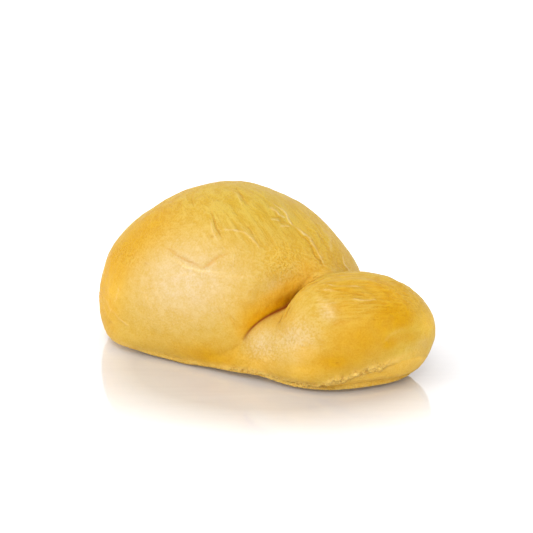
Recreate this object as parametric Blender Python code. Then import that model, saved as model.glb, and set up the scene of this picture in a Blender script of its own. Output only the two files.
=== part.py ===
"""A smoked scamorza resting on its side: a round belly, a folded neck and a small head.

Metres, +Z up. The cheese is one solid. It stands on the flat patch that its own weight pressed, at
z = 0, with its bounding box centred over the origin. X runs along its length from the belly's heel to the
head, and the head lies towards -Y.

The skin is the zero level of one field: smooth unions of ellipsoid lobes, sunk along the crease between
belly and neck. A sphere primitive is wrapped on that level, along rays from the middles of belly, neck
and head, with one of its rings on the seam between belly and neck. It is then cut flat at z = 0.
"""

from dataclasses import dataclass

import bmesh
import bpy
import numpy as np

NAME = "scamorza"

# Driving dimensions: lobes as centre, half sizes and turns (yaw, pitch, roll in degrees)
BELLY = ((0.0045, 0.0115, 0.0245), (0.0435, 0.0385, 0.0270), (-7.0, 45.5, 7.0))
HEEL = ((-0.0405, 0.0180, 0.0185), (0.0250, 0.0260, 0.0305), (1.0, 16.0, 2.5))
RUMP = ((-0.0160, 0.0270, 0.0100), (0.0360, 0.0190, 0.0220), (0.0, 0.0, 0.0))
FOOT = ((-0.0130, 0.0000, 0.0070), (0.0305, 0.0210, 0.0205), (-22.0, -6.0, 2.0))
NECK = ((0.0060, -0.0220, 0.0055), (0.0255, 0.0130, 0.0180), (-28.0, -5.0, 4.0))
CHIN = ((0.0185, -0.0210, 0.0095), (0.0135, 0.0155, 0.0200), (-18.0, -1.5, -2.0))
HEAD = ((0.0330, -0.0270, 0.0180), (0.0295, 0.0195, 0.0220), (14.0, 6.0, 1.0))

# How widely neighbouring lobes melt together. The head and the neck melt widely low down and hardly at
# all high up, over a range of heights, and the belly melts into the head's back over a range of x.
HEEL_BLEND = 0.034
RUMP_BLEND = 0.014
FOOT_BLEND = 0.018
CHIN_BLEND = 0.008
HEAD_BLEND = (0.014, 0.003)
HEAD_BLEND_HEIGHTS = (0.008, 0.028)
NECK_BLEND = (0.010, 0.001)
NECK_BLEND_HEIGHTS = (0.003, 0.017)
NAPE_BLEND = (0.000, 0.012)
NAPE_BLEND_X = (0.010, 0.026)

# Course of the crease where the belly rolls over the neck: x, y, z, how deep the skin sinks, and how far
# from the crease that sinking starts
CREASE = (
    (-0.0085, -0.0265, 0.0125, 0.0000, 0.006),
    (-0.0055, -0.0260, 0.0170, 0.0020, 0.010),
    (-0.0015, -0.0250, 0.0210, 0.0038, 0.013),
    (0.0035, -0.0225, 0.0240, 0.0050, 0.015),
    (0.0085, -0.0190, 0.0265, 0.0055, 0.015),
    (0.0200, -0.0090, 0.0270, 0.0030, 0.014),
    (0.0340, 0.0010, 0.0210, 0.0010, 0.012),
    (0.0450, 0.0060, 0.0100, 0.0000, 0.012),
)

# The short fold that parts the neck from the head, with the depth at each point
FOLD = (
    (0.0090, -0.0210, 0.0270, 0.0005),
    (0.0065, -0.0270, 0.0245, 0.0016),
    (0.0045, -0.0310, 0.0205, 0.0010),
    (0.0040, -0.0340, 0.0165, 0.0000),
)
FOLD_WIDTH = 0.003
CURVE_STEPS = 4

# The middles of belly and head, from where rays leave, and how far from the belly's the neck's is
BELLY_CORE = (0.000, 0.010, 0.024)
HEAD_CORE = (0.031, -0.029, 0.016)
NECK_SHARE = 0.55

# Mesh and search. One ring of the mesh runs along the seam between belly and neck.
SEGMENTS = 80
RINGS = 50
SEAM_RING = 18
LONGEST_RAY = 0.080
MARCH_STEP = 0.001
HALVINGS = 20
EVENINGS = 6
EVENING_SHARE = 0.4
SLOPE_STEP = 0.00005
MERGE_DISTANCE = 0.0001

SKIN_COLOUR = (0.83, 0.52, 0.11, 1.0)
SKIN_ROUGHNESS = 0.45


@dataclass(frozen=True)
class Course:
    """A chain of points in the skin, with values such as a depth carried along it."""

    points: np.ndarray
    values: np.ndarray

    @classmethod
    def through(cls, rows):
        """A smooth curve through rows of x, y, z and values, CURVE_STEPS pieces between two rows."""
        rows = np.array(rows)
        rows = np.vstack([2 * rows[0] - rows[1], rows, 2 * rows[-1] - rows[-2]])
        t = np.linspace(0, 1, CURVE_STEPS, endpoint=False)[:, None]
        pieces = []
        for before, start, end, after in zip(rows, rows[1:], rows[2:], rows[3:]):
            slope = (end - before) * t
            bend = (2 * before - 5 * start + 4 * end - after) * t**2
            twist = (3 * start - 3 * end + after - before) * t**3
            pieces.append(start + 0.5 * (slope + bend + twist))
        rows = np.vstack([*pieces, rows[-2:-1]])
        return cls(rows[:, :3], rows[:, 3:])

    def nearest(self, places):
        """The distance from each place to the chain, and the values at the nearest point of it."""
        distance = np.full(len(places), np.inf)
        values = np.zeros((len(places), self.values.shape[1]))
        for i in range(len(self.points) - 1):
            start = self.points[i]
            side = self.points[i + 1] - start
            share = np.clip((places - start) @ side / (side @ side), 0, 1)[:, None]
            here = np.linalg.norm(places - start - share * side, axis=1)
            closer = here < distance
            distance = np.where(closer, here, distance)
            carried = self.values[i] + share * (self.values[i + 1] - self.values[i])
            values = np.where(closer[:, None], carried, values)
        return distance, values


def turn_matrix(turns):
    """The rotation matrix of a yaw about Z after a pitch about Y after a roll about X, in degrees."""
    (cz, cy, cx), (sz, sy, sx) = np.cos(np.radians(turns)), np.sin(np.radians(turns))
    yaw = np.array([[cz, -sz, 0], [sz, cz, 0], [0, 0, 1]])
    pitch = np.array([[cy, 0, sy], [0, 1, 0], [-sy, 0, cy]])
    roll = np.array([[1, 0, 0], [0, cx, -sx], [0, sx, cx]])
    return yaw @ pitch @ roll


def lobe(places, form):
    """Roughly how far each place is outside one ellipsoid lobe, in metres."""
    centre, half_sizes, turns = form
    local = (places - np.array(centre)) @ turn_matrix(turns)
    scaled = np.linalg.norm(local / np.array(half_sizes), axis=1)
    steepness = np.linalg.norm(local / np.array(half_sizes) ** 2, axis=1)
    return scaled * (scaled - 1) / np.maximum(steepness, 1e-9)


def melt(first, second, width):
    """The smooth union of two fields, which rounds the corner between them over a width."""
    share = np.clip(0.5 + 0.5 * (second - first) / width, 0, 1)
    return second * (1 - share) + first * share - width * share * (1 - share)


def eased(value, ends, limits):
    """The first end below the lower limit, the second above the upper, and a smooth step between."""
    share = np.clip((value - limits[0]) / (limits[1] - limits[0]), 0, 1)
    return ends[0] + (ends[1] - ends[0]) * share * share * (3 - 2 * share)


@dataclass(frozen=True)
class Skin:
    """The field whose zero level is the skin of the cheese."""

    crease: Course
    fold: Course

    def belly(self, places):
        """Roughly how far each place is outside the belly, which is sunk along the crease."""
        belly = melt(lobe(places, BELLY), lobe(places, HEEL), HEEL_BLEND)
        belly = melt(belly, lobe(places, RUMP), RUMP_BLEND)
        belly = melt(belly, lobe(places, FOOT), FOOT_BLEND)
        distance, values = self.crease.nearest(places)
        depth, reach = values.T
        return belly + depth * np.clip(1 - distance / reach, 0, 1) ** 2

    def head(self, places):
        """Roughly how far each place is outside the head and neck."""
        neck = melt(lobe(places, NECK), lobe(places, CHIN), CHIN_BLEND)
        width = eased(places[:, 2], HEAD_BLEND, HEAD_BLEND_HEIGHTS)
        return melt(neck, lobe(places, HEAD), width)

    def level(self, places):
        """Roughly how far each place is outside the skin, in metres, and negative inside."""
        length, _, height = places.T
        width = eased(height, NECK_BLEND, NECK_BLEND_HEIGHTS) + eased(length, NAPE_BLEND, NAPE_BLEND_X)
        skin = melt(self.belly(places), self.head(places), width)
        distance, values = self.fold.nearest(places)
        return skin + values[:, 0] * np.exp(-distance / FOLD_WIDTH)

    def slope(self, places, level):
        """The field's slope at each place, given its level there."""
        steps = SLOPE_STEP * np.eye(3)
        return np.column_stack([self.level(places + step) - level for step in steps]) / SLOPE_STEP

    def slide(self, places, moves):
        """The places moved along the skin by the part of each move that lies in it."""
        slope = self.slope(places, self.level(places))
        steepness = np.maximum((slope**2).sum(axis=1), 0.1)[:, None]
        places = places + moves - slope * (slope * moves).sum(axis=1)[:, None] / steepness
        level = self.level(places)
        slope = self.slope(places, level)
        steepness = np.maximum((slope**2).sum(axis=1), 0.1)
        return places - slope * (level / steepness)[:, None]


def halved(low, high, beyond):
    """Halves the steps between two arrays until they meet where the test turns true."""
    for _ in range(HALVINGS):
        middle = (low + high) / 2
        past = beyond(middle)
        low = np.where(past, low, middle)
        high = np.where(past, middle, high)
    return low


def first_exit(count, outside):
    """How far each of a count of searches goes before its place is outside for the first time."""
    reached = np.zeros(count)
    seeking = np.ones(count, bool)
    for distance in np.arange(MARCH_STEP, LONGEST_RAY, MARCH_STEP):
        seeking &= ~outside(np.full(count, distance))
        reached = np.where(seeking, distance, reached)
    return halved(reached, reached + MARCH_STEP, outside)


@dataclass(frozen=True)
class Axis:
    """The line from the middle of the belly through the neck to the middle of the head."""

    start: np.ndarray
    length: float
    along: np.ndarray
    side: np.ndarray
    upward: np.ndarray

    @classmethod
    def between(cls, start, end):
        """The line between two places, with two directions across it."""
        start, end = np.array(start), np.array(end)
        length = np.linalg.norm(end - start)
        along = (end - start) / length
        side = np.cross((0, 0, 1), along)
        side = side / np.linalg.norm(side)
        return cls(start, length, along, side, np.cross(along, side))

    def outward(self, around):
        """The direction away from the line at each angle around it."""
        return np.cos(around)[:, None] * self.side + np.sin(around)[:, None] * self.upward

    def seam(self, skin, around):
        """Where belly and head meet in the skin, in the half plane at each angle around the line."""
        outward = self.outward(around)
        nearest = np.zeros(len(around))
        furthest = np.full(len(around), self.length)

        def meeting(reach):
            """The place at this reach from the line that is as near to the belly as to the head."""
            foot = self.start + reach[:, None] * outward

            def in_head(distance):
                places = foot + distance[:, None] * self.along
                return skin.head(places) < skin.belly(places)

            return foot + halved(nearest, furthest, in_head)[:, None] * self.along

        return meeting(first_exit(len(around), lambda reach: skin.level(meeting(reach)) > 0))


def wrap(sphere, skin):
    """Moves a unit sphere's points, whose +Z pole is the head's, to where rays first leave the skin.

    Each ray lies in the half plane at its angle around the neck's line. Between the belly's pole and the
    seam the rays leave the middle of the belly, and their angle to the line falls evenly to the seam's.
    Between the seam and the head's pole they start on the line, ever nearer to the middle of the head.
    It returns the points, and for each of them whether it is on the seam.
    """
    axis = Axis.between(BELLY_CORE, HEAD_CORE)
    neck = NECK_SHARE * axis.length
    ring = np.arccos(np.clip(sphere[:, 2], -1, 1)) / np.pi
    around = np.arctan2(sphere[:, 1], sphere[:, 0])
    outward = axis.outward(around)

    angles = np.linspace(-np.pi, np.pi, SEGMENTS + 1)
    seam = axis.seam(skin, angles)
    seam = np.column_stack([np.interp(around, angles, column) for column in seam.T])
    seam_out = ((seam - axis.start) * outward).sum(axis=1)
    seam_along = (seam - axis.start) @ axis.along

    seam_share = SEAM_RING / RINGS
    to_head = ring < seam_share
    share = np.where(to_head, ring / seam_share, (1 - ring) / (1 - seam_share))
    from_belly = np.pi - share * (np.pi - np.arctan2(seam_out, seam_along))
    from_head = share * np.arctan2(seam_out, seam_along - neck)
    angle = np.where(to_head, from_head, from_belly)[:, None]
    start = np.where(to_head, axis.length + share * (neck - axis.length), 0.0)
    starts = axis.start + start[:, None] * axis.along
    directions = np.cos(angle) * axis.along + np.sin(angle) * outward

    def outside(distance):
        return skin.level(starts + distance[:, None] * directions) > 0

    points = starts + first_exit(len(sphere), outside)[:, None] * directions
    on_seam = np.abs(ring - seam_share) < 0.5 / RINGS
    return np.where(on_seam[:, None], seam, points), on_seam


def even_out(points, edges, fixed, skin):
    """The points, but for the fixed ones, slid along the skin towards the mean of their neighbours."""
    ends = np.concatenate([edges, edges[:, ::-1]])
    neighbours = np.bincount(ends[:, 0], minlength=len(points))[:, None]
    for _ in range(EVENINGS):
        total = np.zeros_like(points)
        np.add.at(total, ends[:, 0], points[ends[:, 1]])
        moved = skin.slide(points, EVENING_SHARE * (total / neighbours - points))
        points = np.where(fixed[:, None], points, moved)
    return points


def cut_base(shape):
    """Cuts the shape at z = 0, drops what is below and closes the flat patch it rests on."""
    everything = shape.verts[:] + shape.edges[:] + shape.faces[:]
    bmesh.ops.bisect_plane(
        shape, geom=everything, plane_co=(0, 0, 0), plane_no=(0, 0, -1), clear_outer=True
    )
    bmesh.ops.remove_doubles(shape, verts=shape.verts[:], dist=MERGE_DISTANCE)
    rim = [edge for edge in shape.edges if edge.is_boundary]
    patch = bmesh.ops.contextual_create(shape, geom=rim)["faces"]
    bmesh.ops.triangulate(shape, faces=patch)


def centre(shape):
    """Moves the shape sideways until its bounding box is centred over the origin."""
    points = np.array([vertex.co[:2] for vertex in shape.verts])
    middle = (points.min(axis=0) + points.max(axis=0)) / 2
    bmesh.ops.translate(shape, verts=shape.verts[:], vec=(-middle[0], -middle[1], 0))


def clear_scene():
    """Removes the objects of the scene."""
    for old in list(bpy.data.objects):
        bpy.data.objects.remove(old, do_unlink=True)


def skin_material():
    """The smoked skin, golden and softly shiny."""
    material = bpy.data.materials.new("smoked_skin")
    material.use_nodes = True
    shader = material.node_tree.nodes["Principled BSDF"]
    shader.inputs["Base Color"].default_value = SKIN_COLOUR
    shader.inputs["Roughness"].default_value = SKIN_ROUGHNESS
    shader.inputs["Metallic"].default_value = 0.0
    return material


def build_cheese():
    """The cheese: a sphere primitive wrapped on the skin, as one smooth-shaded object."""
    skin = Skin(Course.through(CREASE), Course.through(FOLD))
    shape = bmesh.new()
    bmesh.ops.create_uvsphere(shape, u_segments=SEGMENTS, v_segments=RINGS, radius=1.0)
    sphere = np.array([vertex.co[:] for vertex in shape.verts])
    edges = np.array([[end.index for end in edge.verts] for edge in shape.edges])
    points, on_seam = wrap(sphere, skin)
    points = even_out(points, edges, on_seam, skin)
    for vertex, place in zip(shape.verts, points):
        vertex.co = place
    cut_base(shape)
    centre(shape)
    mesh = bpy.data.meshes.new(NAME)
    shape.to_mesh(mesh)
    shape.free()
    mesh.shade_smooth()
    mesh.materials.append(skin_material())
    return bpy.data.objects.new(NAME, mesh)


def main():
    """Builds the cheese in a collection of its own."""
    clear_scene()
    collection = bpy.data.collections.new("smoked_scamorza")
    bpy.context.scene.collection.children.link(collection)
    collection.objects.link(build_cheese())


if __name__ == "__main__":
    main()
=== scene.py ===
"""A smoked scamorza resting on its side, with its finished rind, on a pale floor under soft light.

Metres, +Z up. The rind is the zero level of one field: smooth unions of ellipsoid lobes, sunk along the
crease where the belly rolls over the neck. A grid of rays lands on that level, and relief is then added
along the normals: wrinkles, dimples, streaks, pits and the crumbly rim above the floor.
"""

import logging
from dataclasses import dataclass, field
from enum import Enum
from typing import Callable

import bpy
import numpy as np
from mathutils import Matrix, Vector


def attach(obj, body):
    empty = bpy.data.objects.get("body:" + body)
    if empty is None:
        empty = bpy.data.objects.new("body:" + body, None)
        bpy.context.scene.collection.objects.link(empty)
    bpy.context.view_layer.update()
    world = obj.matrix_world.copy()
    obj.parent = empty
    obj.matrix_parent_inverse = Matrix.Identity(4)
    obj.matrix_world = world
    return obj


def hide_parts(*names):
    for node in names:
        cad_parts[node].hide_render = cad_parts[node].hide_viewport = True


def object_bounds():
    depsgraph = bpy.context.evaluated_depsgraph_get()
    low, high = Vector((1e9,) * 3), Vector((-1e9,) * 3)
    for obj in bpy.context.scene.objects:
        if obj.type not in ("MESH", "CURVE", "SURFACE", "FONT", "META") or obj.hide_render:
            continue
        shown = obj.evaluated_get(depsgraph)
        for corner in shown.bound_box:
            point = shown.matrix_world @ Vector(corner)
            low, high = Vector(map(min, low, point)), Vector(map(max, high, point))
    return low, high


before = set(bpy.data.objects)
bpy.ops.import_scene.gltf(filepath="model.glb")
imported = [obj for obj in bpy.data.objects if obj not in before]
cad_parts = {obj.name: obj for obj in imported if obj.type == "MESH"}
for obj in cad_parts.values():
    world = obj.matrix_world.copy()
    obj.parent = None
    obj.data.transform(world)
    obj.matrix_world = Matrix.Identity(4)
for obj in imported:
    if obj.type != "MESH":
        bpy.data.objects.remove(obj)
CAD_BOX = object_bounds()

LOG = logging.getLogger("scamorza")
MM = 0.001
TINY = 1e-9

Array = np.ndarray
Pair = tuple[float, float]
Triple = tuple[float, float, float]
Ranges = tuple[float, float, float, float]
Colour = tuple[float, float, float, float]
Socket = bpy.types.NodeSocket


def eased(value: Array, low: float, high: float) -> Array:
    """A smooth step: 3t^2 - 2t^3 of the share t of the way from low to high.

    Args:
        value: The values to ease.
        low: Where the step is 0.
        high: Where the step is 1, which may be below low for a falling step.

    Returns:
        The step's height for each value, from 0 to 1.
    """
    share = np.clip((value - low) / (high - low), 0, 1)
    return share * share * (3 - 2 * share)


def melt(first: Array, second: Array, width: Array | float) -> Array:
    """The smooth union of two fields: the smaller one, less a parabola where they are nearly equal.

    Args:
        first: One field's levels.
        second: The other field's levels.
        width: How widely the corner between them is rounded, in metres.

    Returns:
        The levels of the union.
    """
    share = np.clip(0.5 + 0.5 * (second - first) / width, 0, 1)
    return second * (1 - share) + first * share - width * share * (1 - share)


def unit(vectors: Array) -> Array:
    """The vectors scaled to a length of 1."""
    return vectors / np.maximum(np.linalg.norm(vectors, axis=-1, keepdims=True), TINY)


def bell(value: Array, width: Array | float, middle: float = 0.0) -> Array:
    """A bell exp(-((value - middle) / width)^2)."""
    return np.exp(-(((value - middle) / width) ** 2))


def between(ends: Pair, share: Array) -> Array:
    """The values that are a share of the way from the first end to the second."""
    return ends[0] + (ends[1] - ends[0]) * share


def crested(away: Array, shoulder: float) -> Array:
    """A line's profile by widths away: a bell, less the shoulder's share of a bell 2 widths away."""
    return bell(away, 1.0) - shoulder * bell(away, 1.0, 2.0)


@dataclass(frozen=True)
class Lobe:
    """One ellipsoid lobe: its centre, its half sizes, and its yaw, pitch and roll in degrees."""

    centre: Triple
    half_sizes: Triple
    turns: Triple

    def level(self, places: Array) -> Array:
        """How far places are outside: k (k - 1) / |gradient of k|, where k = |local / half sizes|.

        Args:
            places: Points, one to a row.

        Returns:
            Rough distances in metres, negative inside.
        """
        (cz, cy, cx), (sz, sy, sx) = np.cos(np.radians(self.turns)), np.sin(np.radians(self.turns))
        yaw = np.array([[cz, -sz, 0], [sz, cz, 0], [0, 0, 1]])
        pitch = np.array([[cy, 0, sy], [0, 1, 0], [-sy, 0, cy]])
        roll = np.array([[1, 0, 0], [0, cx, -sx], [0, sx, cx]])
        local = (places - np.array(self.centre)) @ (yaw @ pitch @ roll)
        scaled = np.linalg.norm(local / np.array(self.half_sizes), axis=1)
        steepness = np.linalg.norm(local / np.array(self.half_sizes) ** 2, axis=1)
        return scaled * (scaled - 1) / np.maximum(steepness, TINY)


@dataclass(frozen=True)
class Course:
    """A chain of points with values such as a depth carried along it."""

    points: Array
    values: Array

    @classmethod
    def through(cls, rows: tuple, dimensions: int = 3, steps: int = 4) -> "Course":
        """A smooth curve through rows of coordinates and values, by cubic pieces between two rows.

        Args:
            rows: Rows of coordinates followed by the carried values.
            dimensions: How many numbers of a row are coordinates.
            steps: How many straight pieces stand for each cubic one.

        Returns:
            The chain.
        """
        table = np.array(rows, float)
        table = np.vstack([2 * table[0] - table[1], table, 2 * table[-1] - table[-2]])
        t = np.linspace(0, 1, steps, endpoint=False)[None, :, None]
        before, start, end, after = (table[i : len(table) - 3 + i, None] for i in range(4))
        slope = (end - before) * t
        bend = (2 * before - 5 * start + 4 * end - after) * t**2
        twist = (3 * start - 3 * end + after - before) * t**3
        curve = (start + 0.5 * (slope + bend + twist)).reshape(-1, table.shape[1])
        curve = np.vstack([curve, table[-2]])
        return cls(curve[:, :dimensions], curve[:, dimensions:])

    def nearest(self, places: Array) -> tuple[Array, Array, Array]:
        """The nearest point of the chain to each place, found piece by piece.

        Args:
            places: Points, one to a row.

        Returns:
            The distances, the values carried there, and how far along the chain it is, from 0 to 1.
        """
        count = len(self.points) - 1
        distance = np.full(len(places), np.inf)
        values = np.zeros((len(places), self.values.shape[1]))
        along = np.zeros(len(places))
        for i in range(count):
            side = self.points[i + 1] - self.points[i]
            share = np.clip((places - self.points[i]) @ side / (side @ side), 0, 1)
            here = np.linalg.norm(places - self.points[i] - share[:, None] * side, axis=1)
            closer = here < distance
            distance = np.where(closer, here, distance)
            carried = self.values[i] + share[:, None] * (self.values[i + 1] - self.values[i])
            values = np.where(closer[:, None], carried, values)
            along = np.where(closer, (i + share) / count, along)
        return distance, values, along

    def side(self, places: Array, along: Array) -> Array:
        """Which side of a flat chain places lie on: 1 on one side and -1 on the other.

        Args:
            places: Points, one to a row.
            along: How far along the chain the nearest point to each is, from 0 to 1.

        Returns:
            1 or -1 for each place.
        """
        piece = np.minimum(along * (len(self.points) - 1), len(self.points) - 2).astype(int)
        run, offset = np.diff(self.points, axis=0)[piece], places - self.points[piece]
        return np.where(run[:, 0] * offset[:, 1] > run[:, 1] * offset[:, 0], 1.0, -1.0)


@dataclass(frozen=True)
class Noise:
    """Smooth seeded noise: random values on a lattice, blended by a fifth-degree step, in octaves."""

    seed: int
    size: float
    octaves: int = 1
    stretch: Triple = (1.0, 1.0, 1.0)
    height: float = 1.0
    lattice: int = 32
    fade: float = 0.5
    spread: float = 1.6

    def at(self, places: Array) -> Array:
        """Octaves of halved size and strength on turned lattices, summed and scaled to about +-height.

        Args:
            places: Points, one to a row.

        Returns:
            The noise at each place, about 0 on average.
        """
        draw = np.random.default_rng(self.seed)
        table = draw.uniform(-1, 1, (self.lattice,) * 3)
        spot = places / (self.size * np.array(self.stretch))
        total, strength, power = np.zeros(len(places)), 1.0, 0.0
        for _ in range(self.octaves):
            turn = np.linalg.qr(draw.normal(size=(3, 3)))[0]
            total += strength * self.blended(table, spot @ turn + draw.uniform(0, self.lattice, 3))
            power += strength**2
            strength *= self.fade
            spot = spot / self.fade
        return self.height * self.spread * total / np.sqrt(power)

    def blended(self, table: Array, spot: Array) -> Array:
        """The lattice's values at the eight corners round each spot, blended by 6t^5 - 15t^4 + 10t^3.

        Args:
            table: The lattice's values.
            spot: Places in steps of the lattice, one to a row.

        Returns:
            One value for each place.
        """
        corner = np.floor(spot).astype(int)
        share = spot - corner
        x, y, z = (share**3 * (share * (6 * share - 15) + 10)).T
        ends = (corner % self.lattice, (corner + 1) % self.lattice)
        rows = [
            table[a[:, 0], b[:, 1], ends[0][:, 2]] * (1 - z) + table[a[:, 0], b[:, 1], ends[1][:, 2]] * z
            for a in ends
            for b in ends
        ]
        return (rows[0] * (1 - y) + rows[1] * y) * (1 - x) + (rows[2] * (1 - y) + rows[3] * y) * x


@dataclass(frozen=True)
class Scatter:
    """Scattered places: where a noise climbs from one level to another."""

    noise: Noise
    start: float
    full: float

    def at(self, places: Array) -> Array:
        """How much each place belongs to them, from 0 to 1."""
        return eased(self.noise.at(places), self.start, self.full)


@dataclass(frozen=True)
class Outlook:
    """Where the photo was taken from: its height angle, distance, lens and the place it looks at.

    Then come its middle in pixels, its scale, and how far the skin leans to it where it starts to show
    and where it shows in full.
    """

    elevation: float = 18.0
    distance: float = 0.560
    lens: float = 100.0
    sensor: float = 36.0
    target: Triple = (0.0, 0.0, 0.034)
    middle: float = 266.5
    pixels_per_mm: float = 2.644
    facing_leans: Pair = (0.05, 0.35)

    @property
    def back(self) -> Array:
        """The direction from the target to the camera."""
        angle = np.radians(self.elevation)
        return np.array([0.0, -np.cos(angle), np.sin(angle)])

    @property
    def upward(self) -> Array:
        """The direction that is up in the picture."""
        angle = np.radians(self.elevation)
        return np.array([0.0, np.sin(angle), np.cos(angle)])

    def seen(self, places: Array) -> Array:
        """Places in the picture, in its pixels to the right and down, by perspective.

        Args:
            places: Points, one to a row.

        Returns:
            Rows of two picture coordinates.
        """
        offset = places - np.array(self.target)
        scale = self.pixels_per_mm / MM * self.distance / (self.distance - offset @ self.back)
        return self.middle + np.column_stack([offset[:, 0], -offset @ self.upward]) * scale[:, None]

    def facing(self, normals: Array) -> Array:
        """How much the skin is seen from the front: a smooth step of its normal's lean to the camera."""
        return eased(normals @ self.back, *self.facing_leans)


@dataclass(frozen=True)
class Form:
    """The smooth form: its lobes, how widely they melt together, the crease and the short fold."""

    belly_lobe: Lobe = Lobe((0.0045, 0.0115, 0.0245), (0.0435, 0.0385, 0.0270), (-7.0, 45.5, 7.0))
    heel_lobe: Lobe = Lobe((-0.0405, 0.0180, 0.0185), (0.0250, 0.0260, 0.0305), (1.0, 16.0, 2.5))
    rump_lobe: Lobe = Lobe((-0.0160, 0.0270, 0.0100), (0.0360, 0.0190, 0.0220), (0.0, 0.0, 0.0))
    foot_lobe: Lobe = Lobe((-0.0130, 0.0000, 0.0070), (0.0305, 0.0210, 0.0205), (-22.0, -6.0, 2.0))
    neck_lobe: Lobe = Lobe((0.0060, -0.0220, 0.0055), (0.0255, 0.0130, 0.0180), (-28.0, -5.0, 4.0))
    chin_lobe: Lobe = Lobe((0.0185, -0.0210, 0.0095), (0.0135, 0.0155, 0.0200), (-18.0, -1.5, -2.0))
    head_lobe: Lobe = Lobe((0.0330, -0.0270, 0.0180), (0.0295, 0.0195, 0.0220), (14.0, 6.0, 1.0))
    heel_blend: float = 0.034
    rump_blend: float = 0.014
    foot_blend: float = 0.018
    chin_blend: float = 0.008
    head_blend: Pair = (0.014, 0.003)
    head_blend_heights: Pair = (0.008, 0.028)
    neck_blend: Pair = (0.010, 0.001)
    neck_blend_heights: Pair = (0.002, 0.012)
    nape_blend: float = 0.012
    nape_blend_x: Pair = (0.010, 0.026)
    crease: Course = field(
        default_factory=lambda: Course.through(
            (  # x, y, z, how deep the skin sinks, how far from the crease that starts
                (-0.0085, -0.0265, 0.0125, 0.0008, 0.007),
                (-0.0055, -0.0260, 0.0170, 0.0026, 0.010),
                (-0.0015, -0.0250, 0.0210, 0.0038, 0.013),
                (0.0035, -0.0225, 0.0240, 0.0050, 0.015),
                (0.0085, -0.0190, 0.0265, 0.0055, 0.015),
                (0.0200, -0.0090, 0.0270, 0.0030, 0.014),
                (0.0340, 0.0010, 0.0210, 0.0010, 0.012),
                (0.0450, 0.0060, 0.0100, 0.0000, 0.012),
            )
        )
    )
    fold: Course = field(
        default_factory=lambda: Course.through(
            (  # x, y, z, depth
                (0.0090, -0.0210, 0.0270, 0.0005),
                (0.0065, -0.0270, 0.0245, 0.0016),
                (0.0045, -0.0310, 0.0205, 0.0010),
                (0.0040, -0.0340, 0.0165, 0.0000),
            )
        )
    )
    fold_width: float = 0.003

    def belly(self, places: Array) -> Array:
        """How far places are outside the belly: four melted lobes, sunk by depth (1 - d / reach)^2.

        Args:
            places: Points, one to a row.

        Returns:
            Rough distances in metres, negative inside.
        """
        level = melt(self.belly_lobe.level(places), self.heel_lobe.level(places), self.heel_blend)
        level = melt(level, self.rump_lobe.level(places), self.rump_blend)
        level = melt(level, self.foot_lobe.level(places), self.foot_blend)
        distance, values, _ = self.crease.nearest(places)
        depth, reach = values.T
        return level + depth * np.clip(1 - distance / reach, 0, 1) ** 2

    def head(self, places: Array) -> Array:
        """How far places are outside the neck and head: three lobes, melted less the higher up.

        Args:
            places: Points, one to a row.

        Returns:
            Rough distances in metres, negative inside.
        """
        neck = melt(self.neck_lobe.level(places), self.chin_lobe.level(places), self.chin_blend)
        width = between(self.head_blend, eased(places[:, 2], *self.head_blend_heights))
        return melt(neck, self.head_lobe.level(places), width)

    def level(self, places: Array) -> Array:
        """How far places are outside the skin: belly and head melted, with the fold's groove.

        Args:
            places: Points, one to a row.

        Returns:
            Rough distances in metres, negative inside.
        """
        width = between(self.neck_blend, eased(places[:, 2], *self.neck_blend_heights))
        width += self.nape_blend * eased(places[:, 0], *self.nape_blend_x)
        distance, values, _ = self.fold.nearest(places)
        groove = values[:, 0] * np.exp(-distance / self.fold_width)
        return melt(self.belly(places), self.head(places), width) + groove


@dataclass(frozen=True)
class Patch:
    """A soft-edged oval of the rind in the picture: centre and half sizes in pixels, turn and strength."""

    centre: Pair
    half_sizes: Pair
    turn: float
    strength: float

    def cover(self, seen: Array) -> Array:
        """The patch's strength at each place: a bell exp(-r^2) of the oval's radius r.

        Args:
            seen: Places in the picture, one to a row.

        Returns:
            Strengths, which fall to 0 outside the oval.
        """
        c, s = np.cos(np.radians(self.turn)), np.sin(np.radians(self.turn))
        local = (seen - np.array(self.centre)) @ np.array([[c, -s], [s, c]])
        return self.strength * np.exp(-((local / np.array(self.half_sizes)) ** 2).sum(axis=1))


def ovals(*rows: tuple[float, ...]) -> tuple[Patch, ...]:
    """Patches from rows of a centre, half sizes, a turn and a strength."""
    return tuple(Patch(row[:2], row[2:4], *row[4:]) for row in rows)


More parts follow.
